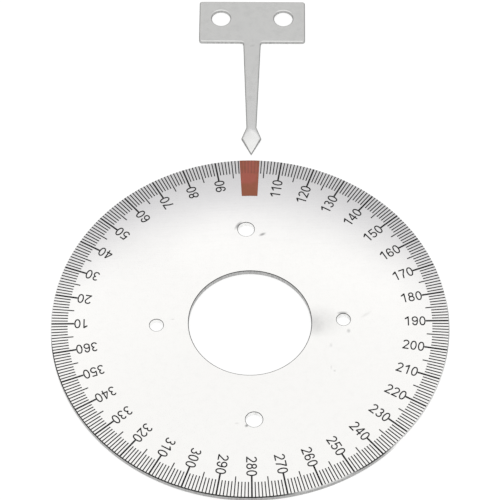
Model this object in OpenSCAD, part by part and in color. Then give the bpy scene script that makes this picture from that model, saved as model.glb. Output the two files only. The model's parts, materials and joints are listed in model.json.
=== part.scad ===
// Graduated 360 degree dial plate for a rotary table or handwheel, with its
// flat reading pointer. Millimetres.
// Origin: centre of the bore on the plate's underside. +Z points out of the
// printed face, and +Y points from the bore to the pointer.
// The plate turns with the spindle and the pointer stays fixed, so the
// reading under the pointer's tip is the table's angle.

/* [Dial plate] */
// Outside diameter of the plate
plate_d = 130; // [120:1:200]
// Diameter of the spindle bore
bore_d = 40; // [16:0.5:52]
// Thickness of the plate
plate_t = 2; // [1:0.1:5]
// Chamfer round the rim, on the printed side
rim_chamfer = 0.3; // [0.1:0.05:0.6]
// Chamfer round the bore and the screw holes, on the printed side
hole_chamfer = 0.1; // [0.05:0.05:0.5]

/* [Screw holes in the plate] */
// Screw that the wide pair of holes clears
wide_screw_d = 5; // [3:0.5:8]
// Distance between the two holes of the wide pair
wide_spacing = 73.3; // [68:0.1:88]
// Screw that the narrow pair of holes clears
narrow_screw_d = 4; // [3:0.5:6]
// Distance between the two holes of the narrow pair
narrow_spacing = 61; // [58:0.1:74]
// Reading that the wide pair is drilled in line with
holes_reading = 98.5; // [0:0.1:359.9]

/* [Scale] */
// Reading under the pointer as the assembly is stored
rest_reading = 100.9; // [0:0.1:359.9]
// Length of the one degree lines
line_1_len = 5.3; // [3:0.1:6]
// Length of the five degree lines
line_5_len = 7.1; // [5:0.1:8]
// Length of the ten degree lines
line_10_len = 7.4; // [6:0.1:9]
// Width of the one and five degree lines
fine_line_w = 0.36; // [0.1:0.02:0.5]
// Width of the ten degree lines
bold_line_w = 0.56; // [0.2:0.02:0.8]
// Thickness of the printed ink
ink_t = 0.05; // [0.02:0.01:0.2]

/* [Numerals] */
// Height of the digits, measured round the dial
digit_h = 3.45; // [2.5:0.05:4.2]
// Width of the digits' strokes
stroke_w = 0.42; // [0.3:0.02:0.6]
// Gap between neighbouring digits
digit_gap = 0.4; // [0.2:0.05:0.8]
// Gap between a ten degree line and its numeral
numeral_gap = 0.04; // [0.02:0.02:1]

/* [Red mark] */
// Reading at the middle of the mark
mark_reading = 100.4; // [0:0.1:359.9]
// Angle that the mark covers
mark_angle = 6; // [2:0.5:9.5]
// Length of the mark inwards from the scale's outer edge
mark_len = 14.5; // [8:0.1:16]
// Thickness of the mark's film
mark_t = 0.04; // [0.02:0.01:0.2]

/* [Pointer] */
// Overall length of the pointer
pointer_len = 66; // [50:1:90]
// Thickness of the pointer's sheet
pointer_t = 1; // [0.6:0.1:3]
// Width of the crossbar
bar_w = 37; // [32:1:50]
// Depth of the crossbar along the pointer
bar_h = 18; // [12:0.5:24]
// Radius of the crossbar's corners
bar_corner_r = 1; // [0.3:0.1:2]
// Width of the stem at the crossbar
stem_w = 6.1; // [4:0.1:10]
// Width of the neck behind the head
neck_w = 3.4; // [2:0.1:3.8]
// Radius of the fillets between the stem and the crossbar
fillet_r = 1; // [0.3:0.1:2]
// Length of the head from the neck to the tip
head_len = 11.2; // [8:0.1:16]
// Width of the head at its shoulders
head_w = 6.8; // [5:0.1:10]
// Distance from the tip to the head's shoulders
head_shoulder = 6.6; // [4:0.1:7.5]
// How far the head's upper face has fallen at the tip
head_drop = 0.3; // [0.05:0.05:0.8]
// Distance behind the neck at which the upper face starts to fall
fall_behind_neck = 0.5; // [0.2:0.1:3]
// Screw that the pointer's holes clear
pointer_screw_d = 6; // [4:0.5:8]
// Distance between the pointer's two holes
pointer_spacing = 21.8; // [18:0.1:24]
// Distance from the crossbar's far edge to the holes
pointer_hole_edge = 7.5; // [6:0.1:10]

/* [Fits] */
// Width of a screw's clearance, added to the screw's diameter
screw_clearance = 0.5; // [0.2:0.05:1]
// Gap between the rim and the pointer's tip
tip_gap = 3.1; // [0.5:0.1:10]

/* [Hidden] */
eps = 0.01;                 // cutters pass a face by this much
big_fn = 180;               // segments of the plate's circles
small_fn = 64;              // segments of screw holes and digits

full_turn = 360;
ten = 10;                   // degrees between numerals
five = 5;                   // degrees between the longer fine lines

plate_r = plate_d / 2;
scale_r = plate_r - rim_chamfer;                // the scale's outer edge
numeral_r = scale_r - line_10_len - numeral_gap; // a numeral's outer end
face_z = plate_t;                               // underside of the ink
film_z = face_z + ink_t;                        // underside of the red film

digit_w = (digit_h + stroke_w) * 0.535;         // width of the round digits
digit_pitch = digit_w + digit_gap;

tip_y = plate_r + tip_gap;
neck_y = tip_y + head_len;
bar_top_y = tip_y + pointer_len;
bar_low_y = bar_top_y - bar_h;
pointer_hole_y = bar_top_y - pointer_hole_edge;
stem_taper = atan2((stem_w - neck_w) / 2, bar_low_y - neck_y);

// ---- Places on the scale ----

// Direction, anticlockwise from +X, of a reading on the clockwise scale
function reading_angle(reading) = 90 + rest_reading - reading;

// Turns its children from +X to a reading
module at_reading(reading) {
    rotate([0, 0, reading_angle(reading)]) children();
}

// Outline of a sector, from one angle to another and wider than r
module sector_2d(r, from, to) {
    steps = max(1, ceil((to - from) / 45));
    polygon(concat([[0, 0]], [for (i = [0 : steps])
        let (a = from + (to - from) * i / steps) 2 * r * [cos(a), sin(a)]]));
}

// Stroke along an arc of outer radius r, from one angle to another
module arc_stroke(r, from, to) {
    intersection() {
        difference() {
            circle(r, $fn = small_fn);
            circle(r - stroke_w, $fn = small_fn);
        }
        sector_2d(r, from, to);
    }
}

// Straight stroke from a to b. It is a hair narrower than an arc's stroke and
// runs a little past b, so that its end is lost inside the arc that it meets.
module bar_stroke(a, b) {
    run = b - a;
    translate(a) rotate(atan2(run[1], run[0]))
        translate([0, eps - stroke_w / 2])
            square([norm(run) + 5 * eps, stroke_w - 2 * eps]);
}

// Upright oval of four tangent arcs, centred on the origin
module oval_2d(w, h, end_r) {
    rise = h / 2 - end_r;                       // to the end arcs' centres
    side_r = (w * w / 4 + rise * rise - end_r * end_r) / (w - 2 * end_r);
    join_y = rise * side_r / (side_r - end_r);  // where the arcs meet
    for (side = [-1, 1])
        translate([0, side * rise]) circle(end_r, $fn = small_fn);
    intersection() {
        translate([w / 2 - side_r, 0]) circle(side_r, $fn = big_fn);
        translate([side_r - w / 2, 0]) circle(side_r, $fn = big_fn);
        translate([-w, -join_y]) square([2 * w, 2 * join_y]);
    }
}

// ---- Digits, each from its lower left corner ----

end_share = 0.8;            // end radius of the nought over its half width
upper_share = 0.465;        // upper loop's share of the loops of 3 and 8
loops_r = (digit_h + stroke_w - eps) / 2;       // both loops' radii together
lower_r = loops_r * (1 - upper_share);
upper_r = loops_r * upper_share;
mid_x = digit_w / 2;
upper_y = digit_h - upper_r;                    // centre of the upper loop

module nought_ring() {
    translate([mid_x, digit_h / 2]) difference() {
        oval_2d(digit_w, digit_h, end_share * digit_w / 2);
        oval_2d(digit_w - 2 * stroke_w, digit_h - 2 * stroke_w,
                end_share * digit_w / 2 - stroke_w);
    }
}

module digit_1() {
    stem_x = digit_w * 0.66;
    flag_run = digit_w * 0.55;
    flag_y = digit_h * 0.68;
    translate([stem_x - stroke_w / 2, 0]) square([stroke_w, digit_h]);
    polygon([[stem_x, digit_h],
             [stem_x - stroke_w * 0.4, digit_h],
             [stem_x - flag_run, flag_y + stroke_w],
             [stem_x - flag_run, flag_y],
             [stem_x, digit_h - stroke_w * 1.5]]);
}

module digit_2() {
    r = digit_w / 2;
    mid_r = r - stroke_w / 2;
    centre = [mid_x, digit_h - r];
    foot = [stroke_w * 0.6, stroke_w / 2];
    to_foot = foot - centre;
    // the diagonal leaves the bow along its tangent
    leave = atan2(to_foot[1], to_foot[0]) + acos(mid_r / norm(to_foot));
    translate(centre) arc_stroke(r, leave, 165);
    bar_stroke(foot, centre + mid_r * [cos(leave), sin(leave)]);
    square([digit_w, stroke_w]);
}

module digit_3() {
    translate([mid_x, upper_y]) arc_stroke(upper_r, -90, 155);
    translate([mid_x, lower_r]) arc_stroke(lower_r, -160, 90);
}

module digit_4() {
    stem_x = digit_w * 0.72;
    bar_y = digit_h * 0.3;
    translate([stem_x - stroke_w / 2, 0]) square([stroke_w, digit_h]);
    translate([0, bar_y - stroke_w / 2]) square([digit_w, stroke_w]);
    difference() {
        polygon([[0, bar_y - stroke_w / 2], [stem_x, bar_y - stroke_w / 2],
                 [stem_x, digit_h], [stem_x - stroke_w / 2, digit_h],
                 [0, bar_y + stroke_w * 0.6]]);
        polygon([[stroke_w * 1.1, bar_y + stroke_w / 2],
                 [stem_x - stroke_w / 2, bar_y + stroke_w / 2],
                 [stem_x - stroke_w / 2, digit_h - stroke_w * 1.4]]);
    }
}

module digit_5() {
    r = lower_r * 1.06;
    lean = stroke_w * 0.7;
    hip_y = digit_h * 0.46;
    translate([mid_x - r + lower_r, r]) arc_stroke(r, -158, 136);
    translate([lean, digit_h - stroke_w])
        square([digit_w - lean * 1.3, stroke_w]);
    polygon([[0.2 * lean, hip_y], [0.2 * lean + stroke_w, hip_y],
             [lean + stroke_w, digit_h], [lean, digit_h]]);
}

module digit_6() {
    translate([mid_x, lower_r]) arc_stroke(lower_r, 0, full_turn);
    difference() {
        intersection() {
            nought_ring();
            union() {
                translate([0, lower_r]) square([mid_x + eps, digit_h]);
                translate([mid_x, digit_h / 2]) sector_2d(digit_h, 42, 90);
            }
        }
        translate([mid_x, lower_r])
            circle(lower_r - stroke_w / 2, $fn = small_fn);
    }
}

module digit_7() {
    foot_x = digit_w * 0.28;
    square_y = digit_h - stroke_w;
    translate([0, square_y]) square([digit_w, stroke_w]);
    polygon([[foot_x, 0], [foot_x + stroke_w, 0],
             [foot_x + stroke_w * 1.7, digit_h * 0.42],
             [digit_w, square_y], [digit_w - stroke_w * 1.25, square_y],
             [foot_x + stroke_w * 0.62, digit_h * 0.42]]);
}

module digit_8() {
    translate([mid_x, upper_y]) arc_stroke(upper_r, 0, full_turn);
    translate([mid_x, lower_r]) arc_stroke(lower_r, 0, full_turn);
}

module digit(n) {
    if (n == 0) nought_ring();
    else if (n == 1) digit_1();
    else if (n == 2) digit_2();
    else if (n == 3) digit_3();
    else if (n == 4) digit_4();
    else if (n == 5) digit_5();
    else if (n == 6) digit_6();
    else if (n == 7) digit_7();
    else if (n == 8) digit_8();
    else translate([digit_w, digit_h]) rotate(180) digit_6();
}

// A number that reads outwards and ends at numeral_r
module numeral(value) {
    count = value >= 100 ? 3 : 2;
    for (place = [0 : count - 1])
        translate([numeral_r - digit_w - place * digit_pitch, -digit_h / 2])
            digit(floor(value / pow(ten, place)) % ten);
}

// ---- Shared cutters and lines ----

// Through hole from z = 0 to top, with a chamfer at the top
module hole_cutter(d, top, chamfer, fn) {
    translate([0, 0, -eps]) cylinder(d = d, h = top + 2 * eps, $fn = fn);
    translate([0, 0, top - chamfer])
        cylinder(r1 = d / 2, r2 = d / 2 + chamfer + eps, h = chamfer + eps,
                 $fn = fn);
}

// One line of the scale, from the scale's outer edge inwards
module scale_line(reading, len, w) {
    at_reading(reading) translate([scale_r - len, -w / 2, face_z])
        cube([len, w, ink_t]);
}

// ---- Sub-parts ----

module dial_plate() {
    color([0.88, 0.88, 0.87]) difference() {
        union() {
            cylinder(d = plate_d, h = plate_t - rim_chamfer, $fn = big_fn);
            translate([0, 0, plate_t - rim_chamfer])
                cylinder(r1 = plate_r, r2 = scale_r, h = rim_chamfer,
                         $fn = big_fn);
        }
        hole_cutter(bore_d, plate_t, hole_chamfer, big_fn);
        for (side = [0, 180]) {
            at_reading(holes_reading + side)
                translate([wide_spacing / 2, 0, 0])
                    hole_cutter(wide_screw_d + screw_clearance, plate_t,
                                hole_chamfer, small_fn);
            at_reading(holes_reading + 90 + side)
                translate([narrow_spacing / 2, 0, 0])
                    hole_cutter(narrow_screw_d + screw_clearance, plate_t,
                                hole_chamfer, small_fn);
        }
    }
}

module degree_lines() {
    color([0.2, 0.2, 0.2])
        for (reading = [1 : full_turn - 1])
            if (reading % five != 0)
                scale_line(reading, line_1_len, fine_line_w);
}

module five_degree_lines() {
    color([0.2, 0.2, 0.2])
        for (reading = [five : ten : full_turn])
            scale_line(reading, line_5_len, fine_line_w);
}

module ten_degree_lines() {
    color([0.16, 0.16, 0.16])
        for (reading = [ten : ten : full_turn])
            scale_line(reading, line_10_len, bold_line_w);
}

module numerals() {
    color([0.16, 0.16, 0.16]) translate([0, 0, face_z])
        linear_extrude(ink_t)
            for (value = [ten : ten : full_turn])
                at_reading(value) numeral(value);
}

module red_mark() {
    color([0.62, 0.35, 0.3]) translate([0, 0, film_z])
        linear_extrude(mark_t) intersection() {
            difference() {
                circle(scale_r, $fn = big_fn);
                circle(scale_r - mark_len, $fn = big_fn);
            }
            sector_2d(scale_r,
                      reading_angle(mark_reading) - mark_angle / 2,
                      reading_angle(mark_reading) + mark_angle / 2);
        }
}

// Crossbar with round corners
module bar_2d() {
    inner = bar_w / 2 - bar_corner_r;
    translate([-inner, bar_low_y]) square([2 * inner, bar_h]);
    translate([-bar_w / 2, bar_low_y + bar_corner_r])
        square([bar_w, bar_h - 2 * bar_corner_r]);
    for (x = [-inner, inner], y = [bar_low_y + bar_corner_r,
                                   bar_top_y - bar_corner_r])
        translate([x, y]) circle(bar_corner_r, $fn = small_fn);
}

// Half width of the stem at a height
function stem_half(y) =
    stem_w / 2 - (bar_low_y - y) * tan(stem_taper);

// The two fillets between the stem's sides and the crossbar. Their circles
// cross both sides by a hair, so that no edge is left merely touching.
module fillets_2d() {
    centre_y = bar_low_y - fillet_r + eps;
    centre_x = stem_half(centre_y) + fillet_r / cos(stem_taper) - eps;
    difference() {
        translate([-centre_x, centre_y]) square([2 * centre_x, fillet_r]);
        for (x = [-centre_x, centre_x])
            translate([x, centre_y]) circle(fillet_r, $fn = small_fn);
    }
}

module pointer_2d() {
    bar_2d();
    polygon([[-stem_w / 2, bar_low_y + eps], [-stem_w / 2, bar_low_y],
             [-neck_w / 2, neck_y], [-head_w / 2, tip_y + head_shoulder],
             [0, tip_y], [head_w / 2, tip_y + head_shoulder],
             [neck_w / 2, neck_y], [stem_w / 2, bar_low_y],
             [stem_w / 2, bar_low_y + eps]]);
    fillets_2d();
}

module pointer() {
    color([0.75, 0.75, 0.74]) difference() {
        linear_extrude(pointer_t) pointer_2d();
        for (side = [-1, 1])
            translate([side * pointer_spacing / 2, pointer_hole_y, 0])
                hole_cutter(pointer_screw_d + screw_clearance, pointer_t,
                            hole_chamfer, small_fn);
        // the head's upper face falls away towards the tip
        translate([-head_w, neck_y + fall_behind_neck, pointer_t])
            rotate([atan2(head_drop, head_len + fall_behind_neck), 0, 0])
                translate([0, -2 * head_len, 0])
                    cube([2 * head_w, 3 * head_len, pointer_t]);
    }
}

dial_plate();
degree_lines();
five_degree_lines();
ten_degree_lines();
numerals();
red_mark();
pointer();
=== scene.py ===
"""Looks of a graduated dial plate and its pointer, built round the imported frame.

The plate and the pointer are remade here with fine round edges, the printed
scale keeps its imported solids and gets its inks, and a light tent, a floor and
a camera stand round them. Lengths are in metres where nothing else is said.
"""

import json
import logging
import math
from dataclasses import dataclass
from enum import Enum
from typing import Callable, Iterable

import bmesh
import bpy
from bmesh.types import BMEdge, BMesh, BMVert
from mathutils import Matrix, Vector


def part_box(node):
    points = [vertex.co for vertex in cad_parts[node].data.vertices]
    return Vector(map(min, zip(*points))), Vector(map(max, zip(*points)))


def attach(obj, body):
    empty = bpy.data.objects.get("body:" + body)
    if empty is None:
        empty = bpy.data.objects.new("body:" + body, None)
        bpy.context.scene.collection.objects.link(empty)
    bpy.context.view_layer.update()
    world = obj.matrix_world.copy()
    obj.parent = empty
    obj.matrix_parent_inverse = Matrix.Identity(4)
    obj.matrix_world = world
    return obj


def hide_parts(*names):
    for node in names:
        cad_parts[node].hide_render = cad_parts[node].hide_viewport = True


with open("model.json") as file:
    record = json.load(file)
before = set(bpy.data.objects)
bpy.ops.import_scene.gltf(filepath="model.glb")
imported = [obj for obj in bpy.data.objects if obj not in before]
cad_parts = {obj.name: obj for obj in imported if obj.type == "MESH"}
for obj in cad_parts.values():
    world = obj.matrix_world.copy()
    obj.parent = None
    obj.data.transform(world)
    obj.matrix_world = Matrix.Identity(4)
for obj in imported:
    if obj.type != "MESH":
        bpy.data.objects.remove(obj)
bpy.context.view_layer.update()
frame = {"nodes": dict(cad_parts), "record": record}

Colour = tuple[float, float, float]
Span = tuple[float, float]
Point = tuple[float, float]
Socket = bpy.types.NodeSocket

MM = 0.001
SHARP_ANGLE = math.radians(28)
WELD = 1e-7
LEVEL_NORMAL = 0.999
RIGHT_ANGLE = math.pi / 2
WHITE: Colour = (1.0, 1.0, 1.0)
NOISE_SPAN: Span = (0.3, 0.7)

log = logging.getLogger("dial")


class PlatePart(Enum):
    """Parts of the plate's surface, numbered as its finishes are."""

    FACE = 0
    ROLLED = 1
    DRILLED = 2
    BORED = 3
    RIM_BREAK = 4
    RIM_WALL = 5


class PointerPart(Enum):
    """Parts of the pointer's surface, numbered as its finishes are."""

    FACE = 0
    EDGE = 1


# ---------------------------------------------------------------- node boards


class Board:
    """A node tree, with short calls for the nodes that it needs."""

    def __init__(self, tree: bpy.types.NodeTree) -> None:
        """Takes a node tree and empties it.

        Args:
            tree: the tree of a world or a material.
        """
        self.tree = tree
        self.tree.nodes.clear()

    def node(self, kind: str, **settings: object) -> bpy.types.Node:
        """Adds a node.

        Args:
            kind: the node's type name.
            **settings: properties of the node, such as its operation.

        Returns:
            The new node.
        """
        made = self.tree.nodes.new(kind)
        for key, value in settings.items():
            setattr(made, key, value)
        return made

    def feed(self, socket: Socket, value: object) -> None:
        """Links a socket to another, or sets its constant.

        Args:
            socket: the input that takes the value.
            value: an output socket, or a number, vector or colour.
        """
        if isinstance(value, bpy.types.NodeSocket):
            self.tree.links.new(value, socket)
        elif isinstance(value, tuple) and len(value) == 3 and socket.type == "RGBA":
            socket.default_value = (*value, 1.0)
        else:
            socket.default_value = value

    def math(self, operation: str, *values: object) -> Socket:
        """Adds a math node.

        Args:
            operation: the node's operation.
            *values: its inputs, as sockets or numbers.

        Returns:
            The result.
        """
        made = self.node("ShaderNodeMath", operation=operation)
        for socket, value in zip(made.inputs, values):
            self.feed(socket, value)
        return made.outputs[0]

    def product(self, first: object, second: object) -> Socket:
        """Multiplies two numbers and returns the result's socket."""
        return self.math("MULTIPLY", first, second)

    def vector(self, operation: str, *values: object, output: str = "Vector") -> Socket:
        """Adds a vector math node.

        Args:
            operation: the node's operation.
            *values: its inputs, as sockets or vectors.
            output: name of the output that is wanted.

        Returns:
            The result.
        """
        made = self.node("ShaderNodeVectorMath", operation=operation)
        for socket, value in zip(made.inputs, values):
            self.feed(socket, value)
        return made.outputs[output]

    def ramp(self, value: Socket, span: Span, result: Span = (0.0, 1.0)) -> Socket:
        """Maps a span of values onto another with smooth ends.

        Args:
            value: the socket that is mapped.
            span: values that become the two ends of the result.
            result: the two ends.

        Returns:
            The mapped value.
        """
        made = self.node("ShaderNodeMapRange", interpolation_type="SMOOTHSTEP")
        self.feed(made.inputs["Value"], value)
        for key, number in zip(("From Min", "From Max", "To Min", "To Max"), (*span, *result)):
            self.feed(made.inputs[key], number)
        return made.outputs["Result"]


class MaterialBoard(Board):
    """A new material's node tree with a principled shader."""

    def __init__(self, name: str) -> None:
        """Starts the material.

        Args:
            name: the material's name.
        """
        self.material = bpy.data.materials.new(name)
        self.material.use_nodes = True
        super().__init__(self.material.node_tree)
        self.shader = self.node("ShaderNodeBsdfPrincipled")
        output = self.node("ShaderNodeOutputMaterial")
        self.feed(output.inputs["Surface"], self.shader.outputs["BSDF"])
        self.coords = self.node("ShaderNodeTexCoord").outputs["Object"]

    def shade(self, **values: object) -> bpy.types.Material:
        """Feeds the shader's inputs.

        Args:
            **values: sockets or constants by input name, with _ for each space.

        Returns:
            The material.
        """
        for key, value in values.items():
            self.feed(self.shader.inputs[key.replace("_", " ")], value)
        return self.material

    def placed(self, scale: Iterable[float], place: Iterable[float] = (0.0, 0.0, 0.0),
               turn: float = 0.0) -> Socket:
        """Object coordinates moved, turned about Z and then scaled.

        Args:
            scale: stretch of the pattern along each axis.
            place: point that becomes the pattern's origin.
            turn: angle of the pattern's X axis, in radians.

        Returns:
            The coordinates.
        """
        result = self.coords
        for setting, value in (("Location", [-c for c in place]),
                               ("Rotation", (0.0, 0.0, -turn)), ("Scale", tuple(scale))):
            made = self.node("ShaderNodeMapping", vector_type="POINT")
            self.feed(made.inputs["Vector"], result)
            made.inputs[setting].default_value = value
            result = made.outputs["Vector"]
        return result

    def sideways(self) -> tuple[Socket, Socket]:
        """Splits the X and Y coordinates off.

        Returns:
            Their sockets.
        """
        made = self.node("ShaderNodeSeparateXYZ")
        self.feed(made.inputs["Vector"], self.coords)
        return made.outputs["X"], made.outputs["Y"]

    def noise(self, scale: float, detail: float = 2.0, vector: Socket | None = None) -> Socket:
        """Adds a noise pattern.

        Args:
            scale: patches to the metre, or to the unit of vector.
            detail: octaves of finer noise.
            vector: coordinates, where the object's own do not serve.

        Returns:
            The pattern, from 0 to 1 about 0.5.
        """
        made = self.node("ShaderNodeTexNoise")
        self.feed(made.inputs["Vector"], vector if vector is not None else self.coords)
        self.feed(made.inputs["Scale"], scale)
        self.feed(made.inputs["Detail"], detail)
        return made.outputs["Fac"]

    def spot(self, place: Point, length: float, width: float, turn: float,
             core: float = 0.9) -> Socket:
        """A soft long spot on the face, 1 in its middle and 0 outside.

        Args:
            place: X and Y of its middle.
            length: its length.
            width: its width.
            turn: angle of its length from X, in radians.
            core: share of the way to the middle at which it is full.

        Returns:
            The spot's mask.
        """
        made = self.node("ShaderNodeTexGradient", gradient_type="SPHERICAL")
        size = (2 / length, 2 / width, 1.0)
        self.feed(made.inputs["Vector"], self.placed(size, (*place, 0.0), turn))
        return self.ramp(made.outputs["Fac"], (0.0, core))

    def colour_mix(self, factor: Socket, first: object, second: object) -> Socket:
        """Mixes two colours through the node's colour sockets.

        Args:
            factor: 0 gives the first and 1 the second.
            first: a colour or a colour socket.
            second: a colour or a colour socket.

        Returns:
            The mixed colour.
        """
        made = self.node("ShaderNodeMix", data_type="RGBA")
        colours = [s for s in made.inputs if s.type == "RGBA"]
        self.feed(made.inputs[0], factor)
        self.feed(colours[0], first)
        self.feed(colours[1], second)
        return next(s for s in made.outputs if s.type == "RGBA")

    def bump(self, height: Socket, distance: float, strength: float) -> Socket:
        """Turns a height into a normal.

        Args:
            height: the pattern that is taken as height.
            distance: height of a full step of the pattern.
            strength: share of the bump that shows.

        Returns:
            The normal.
        """
        made = self.node("ShaderNodeBump")
        self.feed(made.inputs["Height"], height)
        self.feed(made.inputs["Distance"], distance)
        self.feed(made.inputs["Strength"], strength)
        return made.outputs["Normal"]


# ---------------------------------------------------------------- finishes


@dataclass(frozen=True)
class SoilAndShadeSpot:
    """A soft dark spot on a sheet's face: mostly soil and scuffs, and at one screw hole painted
    shade.

    Its middle and its size are in millimetres and its turn from X in degrees, and
    its depth is the share of the soil-and-shade colour in its middle.
    """

    x: float
    y: float
    length: float
    width: float
    turn: float
    depth: float


@dataclass(frozen=True)
class SheetSteel:
    """Bright rolled sheet: faint grain along X, handling smudges and a few dark spots: soil, and
    on the plate also painted shade at a screw hole's edge.
    """

    name: str
    colour: Colour
    shade: Colour
    roughness: Span
    grain_height: float
    mottling: float
    soil_and_shade_spots: tuple[SoilAndShadeSpot, ...] = ()
    soil_and_shade: Colour = (0.3, 0.3, 0.3)
    smudge_scale: float = 26.0
    smudge_span: Span = (0.35, 0.7)
    mottle_scale: float = 420.0
    mottle_span: Span = (0.42, 0.72)
    uneven_scale: float = 700.0
    uneven_cover: Span = (0.8, 1.0)
    grain_scale: tuple[float, float, float] = (60.0, 2600.0, 60.0)
    grain_detail: float = 4.0
    grain_turn: float = math.radians(4)
    grain_rough: float = 0.03
    grain_bump: float = 0.35
    detail: float = 3.0

    def material(self) -> bpy.types.Material:
        """Builds the finish.

        Returns:
            The material.
        """
        board = MaterialBoard(self.name)
        smudges = board.noise(self.smudge_scale, self.detail)
        mottle = board.noise(self.mottle_scale, self.detail)
        grain = board.noise(1.0, self.grain_detail,
                            board.placed(self.grain_scale, turn=self.grain_turn))
        dark = board.ramp(mottle, self.mottle_span, (0.0, self.mottling))
        steel = board.colour_mix(dark, self.colour, self.shade)
        uneven = board.ramp(board.noise(self.uneven_scale, self.detail), NOISE_SPAN,
                            self.uneven_cover)
        # Each spot mixes in the dark colour: soil and scuffs, and painted shade for the spot at
        # the top screw hole's edge.
        for soil_and_shade_spot in self.soil_and_shade_spots:
            mask = board.spot((soil_and_shade_spot.x * MM, soil_and_shade_spot.y * MM), soil_and_shade_spot.length * MM,
                              soil_and_shade_spot.width * MM, math.radians(soil_and_shade_spot.turn))
            cover = board.product(board.product(mask, uneven), soil_and_shade_spot.depth)
            steel = board.colour_mix(cover, steel, self.soil_and_shade)
        rough = board.math("ADD", board.ramp(smudges, self.smudge_span, self.roughness),
                           board.product(grain, self.grain_rough))
        return board.shade(Base_Color=steel, Roughness=rough, Metallic=1.0,
                           Normal=board.bump(grain, self.grain_height, self.grain_bump))


@dataclass(frozen=True)
class PaintedDarkArc:
    """A stretch of a round edge where painted dark reflection and shade darken its colour.

    Its ends are directions from X in degrees, and its share is how dark it is painted.
    """

    start: float
    end: float
    share: float = 1.0


@dataclass(frozen=True)
class CutEdge:
    """Duller steel of a cut edge, with the fine lines that the cut left.

    A round edge that has an outside-arc colour is bright but for its painted dark arcs, where
    painted dark reflection and shade darken it, and each of those fades out over some degrees at
    its ends.
    """

    name: str
    colour: Colour
    shade: Colour
    line_scale: tuple[float, float, float] = (2200.0, 2200.0, 350.0)
    line_span: Span = (0.4, 0.7)
    line_height: float = 0.01 * MM
    line_bump: float = 0.3
    detail: float = 3.0
    roughness: Span = (0.22, 0.36)
    outside_arc_colour: Colour | None = None
    painted_dark_arcs: tuple[PaintedDarkArc, ...] = ()
    fade: float = 4.0

    def painted_dark_mask(self, board: MaterialBoard) -> Socket:
        """Finds where a round edge's colour is painted dark, as painted dark reflection and
        shade.

        Args:
            board: the material that is built.

        Returns:
            The mask, 1 on a full painted dark arc.
        """
        x, y = board.sideways()
        degrees = board.product(board.math("ARCTAN2", y, x), math.degrees(1.0))
        painted_dark = 0.0
        for part in self.painted_dark_arcs:
            middle, half = (part.start + part.end) / 2, (part.end - part.start) / 2
            off = board.math("ABSOLUTE", board.math("SUBTRACT", degrees, middle))
            mask = board.ramp(off, (half - self.fade, half + self.fade), (part.share, 0.0))
            painted_dark = board.math("MAXIMUM", mask, painted_dark)
        return painted_dark

    def material(self) -> bpy.types.Material:
        """Builds the finish.

        Returns:
            The material.
        """
        board = MaterialBoard(self.name)
        lines = board.noise(1.0, self.detail, board.placed(self.line_scale))
        steel = board.colour_mix(board.ramp(lines, self.line_span), self.colour, self.shade)
        # Bright steel off the painted dark arcs; on them, painted dark reflection and shade.
        if self.outside_arc_colour:
            steel = board.colour_mix(self.painted_dark_mask(board), self.outside_arc_colour, steel)
        return board.shade(Base_Color=steel, Metallic=1.0,
                           Roughness=board.ramp(lines, NOISE_SPAN, self.roughness),
                           Normal=board.bump(lines, self.line_height, self.line_bump))


@dataclass(frozen=True)
class PrintedInk:
    """Matt black print, a little thin in places."""

    name: str
    colour: Colour
    thin: Colour
    cover_scale: float = 900.0
    cover_span: Span = (0.45, 0.75)
    cover_height: float = 0.02 * MM
    cover_bump: float = 0.3
    detail: float = 3.0
    roughness: Span = (0.42, 0.6)
    gloss: float = 0.35

    def material(self) -> bpy.types.Material:
        """Builds the finish.

        Returns:
            The material.
        """
        board = MaterialBoard(self.name)
        cover = board.noise(self.cover_scale, self.detail)
        ink = board.colour_mix(board.ramp(cover, self.cover_span), self.colour, self.thin)
        return board.shade(Base_Color=ink, Specular_IOR_Level=self.gloss,
                           Roughness=board.ramp(cover, NOISE_SPAN, self.roughness),
                           Normal=board.bump(cover, self.cover_height, self.cover_bump))


@dataclass(frozen=True)
class RedFilm:
    """Thin red print over the scale, through which the lines just show.

    The lines are one degree apart, and the pointer's tip, which is straight up Y,
    is past one of them by reading_turn degrees. They fade out sideways at
    line_soft times their half width.
    """

    name: str
    colour: Colour
    bright: Colour
    over_line: Colour
    reading_turn: float = 0.9
    line_half: float = 0.18 * MM
    line_soft: float = 2.2
    line_shows: float = 0.3
    line_inner_r: float = 59.4 * MM
    line_end_soft: float = 0.2 * MM
    line_height: float = 0.03 * MM
    line_bump: float = 0.4
    patch_scale: float = 170.0
    patch_span: Span = (0.46, 0.64)
    rough_scale: float = 600.0
    roughness: Span = (0.38, 0.55)
    gloss: float = 0.4

    def material(self) -> bpy.types.Material:
        """Builds the finish.

        Returns:
            The material.
        """
        board = MaterialBoard(self.name)
        x, y = board.sideways()
        radius = board.math("SQRT", board.math("ADD", board.product(x, x),
                                               board.product(y, y)))
        turn = board.product(board.math("ARCTAN2", x, y), math.degrees(1.0))
        step = board.math("FRACT", board.math("ADD", turn, self.reading_turn))
        off_line = board.math("MINIMUM", step, board.math("SUBTRACT", 1.0, step))
        arc = board.product(board.product(off_line, radius), math.radians(1.0))
        on_line = board.ramp(arc, (self.line_half, self.line_soft * self.line_half), (1.0, 0.0))
        outside = board.ramp(radius, (self.line_inner_r - self.line_end_soft,
                                      self.line_inner_r + self.line_end_soft))
        shows = board.product(board.product(on_line, outside), self.line_shows)
        patches = board.ramp(board.noise(self.patch_scale), self.patch_span)
        red = board.colour_mix(patches, self.colour, self.bright)
        rough = board.ramp(board.noise(self.rough_scale), NOISE_SPAN, self.roughness)
        return board.shade(Base_Color=board.colour_mix(shows, red, self.over_line),
                           Roughness=rough, Specular_IOR_Level=self.gloss,
                           Normal=board.bump(on_line, self.line_height, self.line_bump))


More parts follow.
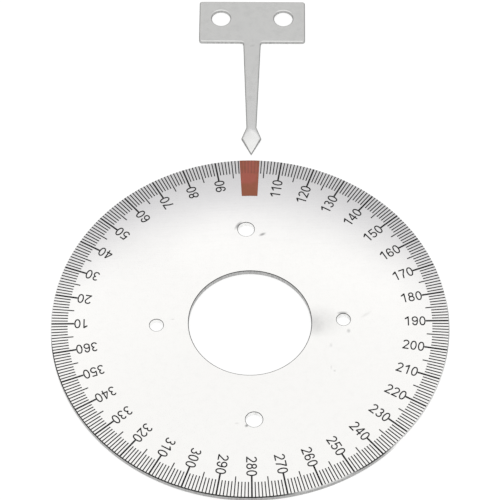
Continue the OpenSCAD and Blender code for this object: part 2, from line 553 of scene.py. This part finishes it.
@dataclass(frozen=True)
class PaleCard:
    """Plain white card for the floor, which glows a little to stay white."""

    name: str = "pale_card"
    colour: Colour = (0.5, 0.5, 0.5)
    roughness: float = 0.9
    gloss: float = 0.1
    glow: float = 0.78

    def material(self) -> bpy.types.Material:
        """Builds the finish.

        Returns:
            The material.
        """
        board = MaterialBoard(self.name)
        return board.shade(Base_Color=self.colour, Roughness=self.roughness,
                           Specular_IOR_Level=self.gloss, Emission_Color=WHITE,
                           Emission_Strength=self.glow)


# ---------------------------------------------------------------- mesh tools


def mount(name: str) -> dict:
    """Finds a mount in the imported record.

    Args:
        name: the mount's name.

    Returns:
        The mount's entry.
    """
    return next(m for m in frame["record"]["mounts"] if m["name"] == name)


def ring(bm: BMesh, radius: float, z: float, segments: int, centre: Point) -> list[BMEdge]:
    """Adds a circle of edges.

    Args:
        bm: the mesh that is built.
        radius: the circle's radius.
        z: its height.
        segments: its number of edges.
        centre: X and Y of its middle.

    Returns:
        The circle's edges.
    """
    place = Matrix.Translation((*centre, z))
    made = bmesh.ops.create_circle(bm, cap_ends=False, radius=radius, segments=segments,
                                   matrix=place)
    return list({edge for vert in made["verts"] for edge in vert.link_edges})


def bridge(bm: BMesh, loops: list[list[BMEdge]]) -> None:
    """Joins each loop of edges to the next with a wall.

    Args:
        bm: the mesh that is built.
        loops: the loops, from one end of the wall to the other.
    """
    for first, second in zip(loops, loops[1:]):
        bmesh.ops.bridge_loops(bm, edges=first + second)


def quarter_turns(steps: int) -> list[float]:
    """Cuts a right angle into even steps and returns the angles, both ends included."""
    return [RIGHT_ANGLE * step / steps for step in range(steps + 1)]


def finish_mesh(bm: BMesh, name: str, flat_z: tuple[float, ...]) -> bpy.types.Object:
    """Turns a built mesh into an object at the origin.

    Args:
        bm: the mesh, which is freed.
        name: the object's name.
        flat_z: heights of level faces that are shaded flat.

    Returns:
        The object.
    """
    bmesh.ops.remove_doubles(bm, verts=bm.verts[:], dist=WELD)
    bmesh.ops.recalc_face_normals(bm, faces=bm.faces[:])
    for face in bm.faces:
        level = all(any(abs(v.co.z - z) < WELD for z in flat_z) for v in face.verts)
        face.smooth = not (level and abs(face.normal.z) > LEVEL_NORMAL)
    for edge in bm.edges:
        if edge.is_manifold and edge.calc_face_angle(0.0) > SHARP_ANGLE:
            edge.smooth = False
    mesh = bpy.data.meshes.new(name)
    bm.to_mesh(mesh)
    bm.free()
    piece = bpy.data.objects.new(name, mesh)
    bpy.context.scene.collection.objects.link(piece)
    return piece


def dress(piece: bpy.types.Object, material: bpy.types.Material) -> None:
    """Puts one material on all of a piece, CAD node or new.

    Args:
        piece: the object.
        material: its finish.
    """
    if not piece.data.materials:
        piece.data.materials.append(material)
    for number in range(len(piece.data.materials)):
        piece.data.materials[number] = material


def dress_parts(piece: bpy.types.Object, materials: list[bpy.types.Material],
                part_of: Callable[[bpy.types.MeshPolygon], Enum]) -> None:
    """Puts several materials on a new piece, each on a part of its surface.

    Args:
        piece: the object.
        materials: its finishes, in the order of the parts' numbers.
        part_of: tells the part that a face belongs to.
    """
    for material in materials:
        piece.data.materials.append(material)
    for face in piece.data.polygons:
        face.material_index = part_of(face).value


# ---------------------------------------------------------------- the dial


@dataclass
class DialPlate:
    """The round plate, with a chamfered rim and rolled edges on the bore and holes.

    A face belongs to the rim or the bore when it is within edge_reach of it, and
    the upward part of its normal tells level faces and upright walls apart.
    """

    rim_chamfer: float = 0.3 * MM
    bore_roll: float = 0.24 * MM
    hole_roll: float = 0.18 * MM
    roll_down: float = 0.16 * MM
    roll_steps: int = 4
    back_chamfer: float = 0.08 * MM
    wide_pair_turn: float = math.radians(2.4)
    rim_segments: int = 720
    bore_segments: int = 288
    hole_segments: int = 72
    level_normal: float = 0.995
    wall_normal: float = 0.1
    edge_reach: float = 1.0 * MM
    # The rolled edges of the bore and holes: near black, partly duller cut steel and mostly
    # painted dark reflection that outlines them.
    rolled: CutEdge = CutEdge("cut_edge", (0.12, 0.12, 0.119), (0.085, 0.085, 0.085))
    drilled: CutEdge = CutEdge("drilled_edge", (0.92, 0.92, 0.91), (0.72, 0.72, 0.71),
                               (380.0, 380.0, 100.0))
    bored: CutEdge = CutEdge("bored_edge", (0.46, 0.46, 0.455), (0.34, 0.34, 0.335))
    # The rim's break: bright steel, near black on arcs mostly on the camera's side as painted
    # dark reflection.
    rim_break: CutEdge = CutEdge("rim_break", (0.05, 0.05, 0.05), (0.035, 0.035, 0.035),
                                 outside_arc_colour=(0.9, 0.9, 0.89),
                                 painted_dark_arcs=(PaintedDarkArc(-173, -77), PaintedDarkArc(-59, -46),
                                             PaintedDarkArc(-13, 7, 0.5)))
    # The rim's wall: bright steel, grey on the arc on the camera's side as painted shade.
    rim_wall: CutEdge = CutEdge("rim_wall", (0.42, 0.42, 0.415), (0.32, 0.32, 0.315),
                                outside_arc_colour=(0.95, 0.95, 0.94),
                                painted_dark_arcs=(PaintedDarkArc(-173, -46),))
    face: SheetSteel = SheetSteel(
        "bright_sheet", (0.945, 0.937, 0.92), (0.8, 0.8, 0.79), (0.03, 0.055),
        grain_height=0.001 * MM, mottling=0.1, soil_and_shade_spots=(
            SoilAndShadeSpot(3.9, 34.6, 3.4, 1.5, 26, 0.9),
            # Near black along the top screw hole's left edge: painted shade, not a scuff.
            SoilAndShadeSpot(-4.15, 38.15, 5.0, 1.9, 56, 0.95),
            SoilAndShadeSpot(22.5, 0.6, 19.0, 15.0, -6, 0.22),
            SoilAndShadeSpot(20.8, -1.0, 9.0, 11.0, 8, 0.24),
            SoilAndShadeSpot(30.2, 3.75, 4.6, 1.7, 2, 0.9),
            SoilAndShadeSpot(32.1, -3.1, 1.7, 2.2, 0, 0.5),
            SoilAndShadeSpot(37.8, 3.2, 6.0, 1.6, 35, 0.16),
            SoilAndShadeSpot(26.3, -8.6, 1.5, 2.4, 0, 0.2),
            SoilAndShadeSpot(26.3, -17.0, 0.9, 2.2, 0, 0.2),
            SoilAndShadeSpot(27.4, -18.3, 1.2, 1.2, 0, 0.3),
            SoilAndShadeSpot(-0.8, -38.9, 1.9, 1.5, 40, 1.0),
            SoilAndShadeSpot(-4.0, -38.1, 2.2, 1.1, 0, 0.2),
            SoilAndShadeSpot(-25.2, 1.0, 1.8, 0.8, 0, 0.25),
        ))

    def __post_init__(self) -> None:
        """Takes the plate's sizes from the frame."""
        verts = frame["nodes"]["dial_plate"].data.vertices
        self.radius = max(math.hypot(v.co.x, v.co.y) for v in verts)
        self.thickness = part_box("dial_plate")[1].z
        self.bore_r = mount("spindle_bore")["dims"]["r_mm"] * MM

    def holes(self) -> list[tuple[Point, float]]:
        """Places of the four screw holes.

        Returns:
            Each hole's middle and radius.
        """
        found = []
        for name, quarter in (("wide_plate_screws", 0.0), ("narrow_plate_screws", RIGHT_ANGLE)):
            dims = mount(name)["dims"]
            reach = dims["pcd_mm"] * MM / 2
            for half in (0.0, math.pi):
                turn = RIGHT_ANGLE + self.wide_pair_turn + quarter + half
                place = (reach * math.cos(turn), reach * math.sin(turn))
                found.append((place, dims["hole_r_mm"] * MM))
        return found

    def walls(self) -> list[tuple[list[Point], int, Point]]:
        """Draws the profiles of the rim, the bore and the screw holes.

        Returns:
            Each wall's profile as radii and heights, its segments and its middle.
        """
        top, middle = self.thickness, (0.0, 0.0)
        rim = [(self.radius - self.back_chamfer, 0.0), (self.radius, self.back_chamfer),
               (self.radius, top - self.rim_chamfer), (self.radius - self.rim_chamfer, top)]
        found = [(rim, self.rim_segments, middle)]
        openings = [(middle, self.bore_r, self.bore_roll, self.bore_segments)]
        openings += [(place, r, self.hole_roll, self.hole_segments) for place, r in self.holes()]
        for place, r, roll, segments in openings:
            profile = [(r + self.back_chamfer, 0.0), (r, self.back_chamfer)]
            for turn in quarter_turns(self.roll_steps):
                profile.append((r + roll * (1 - math.cos(turn)),
                                top - self.roll_down * (1 - math.sin(turn))))
            found.append((profile, segments, place))
        return found

    def part_of(self, face: bpy.types.MeshPolygon) -> PlatePart:
        """Tells which part of the surface a face belongs to.

        Args:
            face: a face of the built plate.

        Returns:
            The part.
        """
        upward = abs(face.normal.z)
        reach = math.hypot(face.center.x, face.center.y)
        if reach > self.radius - self.edge_reach and upward < self.level_normal:
            return PlatePart.RIM_WALL if upward < self.wall_normal else PlatePart.RIM_BREAK
        if upward < self.wall_normal:
            at_hole = reach > self.bore_r + self.edge_reach
            return PlatePart.DRILLED if at_hole else PlatePart.BORED
        return PlatePart.ROLLED if upward < self.level_normal else PlatePart.FACE

    def build(self) -> bpy.types.Object:
        """Builds the plate.

        Returns:
            The dressed plate.
        """
        bm = bmesh.new()
        faces, backs = [], []
        for profile, segments, place in self.walls():
            loops = [ring(bm, r, z, segments, place) for r, z in profile]
            bridge(bm, loops)
            backs += loops[0]
            faces += loops[-1]
        for sheet in (faces, backs):
            bmesh.ops.triangle_fill(bm, use_beauty=True, edges=sheet)
        piece = finish_mesh(bm, "dial_plate_face", (0.0, self.thickness))
        finishes = (self.face, self.rolled, self.drilled, self.bored, self.rim_break,
                    self.rim_wall)
        dress_parts(piece, [finish.material() for finish in finishes], self.part_of)
        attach(piece, "dial")
        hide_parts("dial_plate")
        return piece


@dataclass
class PrintedScale:
    """The printed lines, numerals and red mark on the plate's face."""

    fine: PrintedInk = PrintedInk("scale_ink", (0.022, 0.022, 0.023), (0.06, 0.06, 0.062))
    bold: PrintedInk = PrintedInk("bold_ink", (0.016, 0.016, 0.017), (0.04, 0.04, 0.042))
    red: RedFilm = RedFilm("red_film", (0.48, 0.15, 0.078), (0.6, 0.16, 0.11),
                           (0.22, 0.085, 0.07))

    def dress(self) -> list[bpy.types.Object]:
        """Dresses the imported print.

        Returns:
            The printed pieces.
        """
        fine, bold, red = (ink.material() for ink in (self.fine, self.bold, self.red))
        finishes = {"degree_lines": fine, "five_degree_lines": fine,
                    "ten_degree_lines": bold, "numerals": bold, "red_mark": red}
        for node, material in finishes.items():
            dress(frame["nodes"][node], material)
        return [frame["nodes"][node] for node in finishes]


# ---------------------------------------------------------------- the pointer


@dataclass
class Pointer:
    """The flat T-shaped pointer, with the rolled edge of a punched sheet."""

    bar_h: float = 18.0 * MM
    stem_half: float = 3.05 * MM
    neck_half: float = 1.7 * MM
    head_half: float = 3.4 * MM
    head_len: float = 11.2 * MM
    shoulder: float = 6.6 * MM
    fall_behind_neck: float = 0.5 * MM
    head_drop: float = 0.3 * MM
    bend_len: float = 3.0 * MM
    bend_steps: int = 6
    corner_r: float = 1.0 * MM
    corner_steps: int = 8
    roll_in: float = 0.6 * MM
    roll_down: float = 0.22 * MM
    roll_steps: int = 5
    hole_segments: int = 64
    upper_normal: float = 0.9
    level_normal: float = 0.75
    side_shade_normal: float = 0.3
    # The punched edge is darker than the face: partly duller cut steel, partly painted shade on
    # its walls and its left and right edges.
    edge: CutEdge = CutEdge("punched_edge", (0.45, 0.45, 0.445), (0.32, 0.32, 0.315))
    face: SheetSteel = SheetSteel(
        "tumbled_sheet", (0.88, 0.88, 0.865), (0.76, 0.76, 0.75), (0.09, 0.12),
        grain_height=0.003 * MM, mottling=0.35, soil_and_shade_spots=(
            SoilAndShadeSpot(0.2, 114.6, 3.2, 1.8, 20, 0.16),
            SoilAndShadeSpot(-0.6, 92.0, 2.2, 2.6, 0, 0.14),
            SoilAndShadeSpot(0.4, 103.5, 3.6, 1.6, 60, 0.08),
        ))

    def __post_init__(self) -> None:
        """Takes the pointer's sizes from the frame."""
        low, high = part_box("pointer")
        self.tip_y, self.far_y = low.y, high.y
        self.bar_half, self.thickness = high.x, high.z

    def outline(self, bm: BMesh) -> list[BMEdge]:
        """Draws the outline and rounds the crossbar's corners.

        Args:
            bm: the mesh that is built.

        Returns:
            The outline's edges.
        """
        bar_y, neck_y = self.far_y - self.bar_h, self.tip_y + self.head_len
        shoulder_y = self.tip_y + self.shoulder
        right = [(self.head_half, shoulder_y), (self.neck_half, neck_y),
                 (self.stem_half, bar_y), (self.bar_half, bar_y),
                 (self.bar_half, self.far_y)]
        corners = [(0.0, self.tip_y), *right, *[(-x, y) for x, y in reversed(right)]]
        verts = [bm.verts.new((x, y, 0.0)) for x, y in corners]
        bm.faces.new(verts)
        bmesh.ops.bevel(bm, geom=[v for v in verts if v.co.y > bar_y - self.corner_r],
                        offset=self.corner_r, segments=self.corner_steps, profile=0.5,
                        affect="VERTICES", material=-1)
        bmesh.ops.delete(bm, geom=bm.faces[:], context="FACES_ONLY")
        return bm.edges[:]

    def roll_edges(self, bm: BMesh) -> None:
        """Rolls the upper face's edges down, as a punch leaves them.

        Args:
            bm: the mesh that is built.
        """
        upper = [f for f in bm.faces if f.normal.z > self.upper_normal]
        for vert in {v for f in upper for v in f.verts}:
            vert.co.z = self.thickness - self.roll_down
        angles = quarter_turns(self.roll_steps)
        for before, after in zip(angles, angles[1:]):
            step = self.roll_in * (math.cos(before) - math.cos(after))
            bmesh.ops.inset_region(bm, faces=upper, thickness=step, use_even_offset=True,
                                   use_boundary=True)
            height = self.thickness - self.roll_down * (1 - math.sin(after))
            for vert in {v for f in upper for v in f.verts}:
                vert.co.z = height

    def fall_at(self, y: float) -> float:
        """Depth by which the head's upper face has fallen.

        Args:
            y: place along the pointer.

        Returns:
            The depth, which grows as a parabola through the bend and then evenly.
        """
        reach = self.head_len + self.fall_behind_neck
        run = self.tip_y + reach - y
        slope = self.head_drop / (reach - self.bend_len / 2)
        if run < 0:
            return 0.0
        if run < self.bend_len:
            return slope * run * run / (2 * self.bend_len)
        return slope * (run - self.bend_len / 2)

    def drop_head(self, bm: BMesh) -> None:
        """Lets the head's upper face bend and fall away towards the tip.

        Args:
            bm: the mesh that is built.
        """
        fold_y = self.tip_y + self.head_len + self.fall_behind_neck
        for step in range(self.bend_steps + 1):
            cut_y = fold_y - self.bend_len * step / self.bend_steps
            bmesh.ops.bisect_plane(bm, geom=bm.verts[:] + bm.edges[:] + bm.faces[:],
                                   dist=WELD, plane_co=(0.0, cut_y, 0.0),
                                   plane_no=(0.0, 1.0, 0.0))
        for vert in bm.verts:
            if vert.co.z > self.thickness / 2:
                vert.co.z -= self.fall_at(vert.co.y)

    def part_of(self, face: bpy.types.MeshPolygon) -> PointerPart:
        """Tells which part of the surface a face belongs to.

        Args:
            face: a face of the built pointer.

        Returns:
            The part.
        """
        steep = abs(face.normal.z) < self.level_normal
        # Faces that lean to the left or right take the darker edge finish: painted shade along
        # those edges.
        sideways = abs(face.normal.x) > self.side_shade_normal
        return PointerPart.EDGE if steep or sideways else PointerPart.FACE

    def build(self) -> bpy.types.Object:
        """Builds the pointer.

        Returns:
            The dressed pointer.
        """
        bm = bmesh.new()
        edges = self.outline(bm)
        screws = mount("pointer_screws")
        reach = screws["dims"]["spacing_x_mm"] * MM / 2
        for side in (-reach, reach):
            edges += ring(bm, screws["dims"]["hole_r_mm"] * MM, 0.0, self.hole_segments,
                          (side, screws["pos_m"][1]))
        bmesh.ops.triangle_fill(bm, use_beauty=True, edges=edges)
        made = bmesh.ops.extrude_face_region(bm, geom=bm.faces[:])
        lifted = [g for g in made["geom"] if isinstance(g, BMVert)]
        bmesh.ops.translate(bm, verts=lifted, vec=(0.0, 0.0, self.thickness))
        bmesh.ops.recalc_face_normals(bm, faces=bm.faces[:])
        self.roll_edges(bm)
        self.drop_head(bm)
        piece = finish_mesh(bm, "pointer_sheet", (0.0, self.thickness))
        dress_parts(piece, [self.face.material(), self.edge.material()], self.part_of)
        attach(piece, "pointer")
        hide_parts("pointer")
        return piece


# ---------------------------------------------------------------- the studio


@dataclass
class Studio:
    """Light tent, pale floor and camera.

    The tent's colours go by the angle from the lamp's middle, in degrees.
    """

    floor_half: float = 6.0
    floor_gap: float = 0.05 * MM
    elevation: float = math.radians(56.289)
    azimuth: float = math.radians(0.405)
    roll: float = math.radians(-0.064)
    distance: float = 0.9411
    rise: float = 23.55 * MM
    focal_mm: float = 207.9
    sensor_mm: float = 36.0
    clip: Span = (0.01, 50.0)
    card: PaleCard = PaleCard()
    lamp_elevation: float = math.radians(67.0)
    lamp_azimuth: float = math.radians(-1.0)
    lamp_squeeze: float = 1.5
    backdrop: float = 1.1
    tent: tuple[tuple[float, Colour], ...] = (
        (0.0, (1.0, 1.0, 1.0)), (8.5, (1.0, 1.0, 1.0)), (10.2, (1.03, 1.03, 1.03)),
        (11.2, (1.08, 1.08, 1.08)), (11.6, (0.88, 0.875, 0.9)), (12.0, (0.64, 0.64, 0.665)),
        (14.0, (0.64, 0.64, 0.64)), (17.0, (0.62, 0.62, 0.62)), (26.0, (0.64, 0.64, 0.64)),
        (50.0, (0.5, 0.5, 0.5)), (68.0, (0.5, 0.5, 0.5)), (80.0, (0.7, 0.7, 0.7)),
        (90.0, (0.72, 0.72, 0.72)))

    def off_lamp(self, board: Board) -> Socket:
        """Angle between a direction of the sky and the lamp's middle.

        Args:
            board: the world's nodes.

        Returns:
            The angle as a share of a right angle, narrower sideways by the squeeze.
        """
        way = board.node("ShaderNodeTexCoord").outputs["Generated"]
        level = math.cos(self.lamp_elevation)
        lamp = Vector((math.sin(self.lamp_azimuth) * level,
                       math.cos(self.lamp_azimuth) * level,
                       math.sin(self.lamp_elevation))).normalized()
        squeezed = board.vector("MULTIPLY", way, (self.lamp_squeeze, 1.0, 1.0))
        even = board.vector("NORMALIZE", squeezed)
        along = board.vector("DOT_PRODUCT", even, lamp, output="Value")
        return board.math("DIVIDE", board.math("ARCCOSINE", along), RIGHT_ANGLE)

    def light_tent(self) -> None:
        """Hangs the soft tent, with a lamp's disc above."""
        world = bpy.data.worlds.new("light_tent")
        bpy.context.scene.world = world
        world.use_nodes = True
        board = Board(world.node_tree)
        ramp = board.node("ShaderNodeValToRGB")
        board.feed(ramp.inputs["Fac"], self.off_lamp(board))
        # A new ramp comes with a few stops, which are used first.
        stops = ramp.color_ramp.elements
        given = len(stops)
        top = max(max(colour) for _, colour in self.tent)
        for number, (angle, colour) in enumerate(self.tent):
            place = math.radians(angle) / RIGHT_ANGLE
            stop = stops[number] if number < given else stops.new(place)
            stop.position = place
            stop.color = (*[c / top for c in colour], 1.0)
        # The pieces see the tent, and the camera sees a plain white backdrop.
        either = board.node("ShaderNodeMixShader")
        board.feed(either.inputs[0], board.node("ShaderNodeLightPath").outputs["Is Camera Ray"])
        for number, (colour, strength) in enumerate(((ramp.outputs["Color"], top),
                                                     (WHITE, self.backdrop)), 1):
            shader = board.node("ShaderNodeBackground")
            board.feed(shader.inputs["Color"], colour)
            board.feed(shader.inputs["Strength"], strength)
            board.feed(either.inputs[number], shader.outputs["Background"])
        output = board.node("ShaderNodeOutputWorld")
        board.feed(output.inputs["Surface"], either.outputs["Shader"])
        bpy.context.scene.view_settings.view_transform = "Standard"

    def floor(self) -> bpy.types.Object:
        """Lays the pale floor.

        Returns:
            The floor.
        """
        bm = bmesh.new()
        bmesh.ops.create_grid(bm, x_segments=1, y_segments=1, size=self.floor_half,
                              matrix=Matrix.Translation((0.0, 0.0, -self.floor_gap)))
        piece = finish_mesh(bm, "floor", (-self.floor_gap,))
        dress(piece, self.card.material())
        return piece

    def camera(self, target: Vector) -> bpy.types.Object:
        """Sets the camera up.

        Args:
            target: point on the plate that the view is measured from.

        Returns:
            The camera.
        """
        level = math.cos(self.elevation)
        back = Vector((math.sin(self.azimuth) * level, -math.cos(self.azimuth) * level,
                       math.sin(self.elevation)))
        flat = Vector((math.cos(self.azimuth), math.sin(self.azimuth), 0.0))
        over = back.cross(flat)
        right = math.cos(self.roll) * flat + math.sin(self.roll) * over
        up = math.cos(self.roll) * over - math.sin(self.roll) * flat
        place = target + self.rise * up + self.distance * back
        data = bpy.data.cameras.new("camera")
        data.lens = self.focal_mm
        data.sensor_width = self.sensor_mm
        data.clip_start, data.clip_end = self.clip
        camera = bpy.data.objects.new("camera", data)
        bpy.context.scene.collection.objects.link(camera)
        turn = Matrix((right, up, back)).transposed().to_4x4()
        camera.matrix_world = Matrix.Translation(place) @ turn
        bpy.context.scene.camera = camera
        return camera


def main() -> None:
    """Builds the object and the studio round it."""
    logging.basicConfig(level=logging.INFO, format="%(message)s")
    plate = DialPlate()
    pieces = [plate.build(), *PrintedScale().dress(), Pointer().build()]
    for piece in pieces:
        log.info("%s: %d faces, finish %s", piece.name, len(piece.data.polygons),
                 piece.data.materials[0].name)
    studio = Studio()
    studio.light_tent()
    studio.floor()
    studio.camera(Vector((0.0, 0.0, plate.thickness)))


if __name__ == "__main__":
    main()
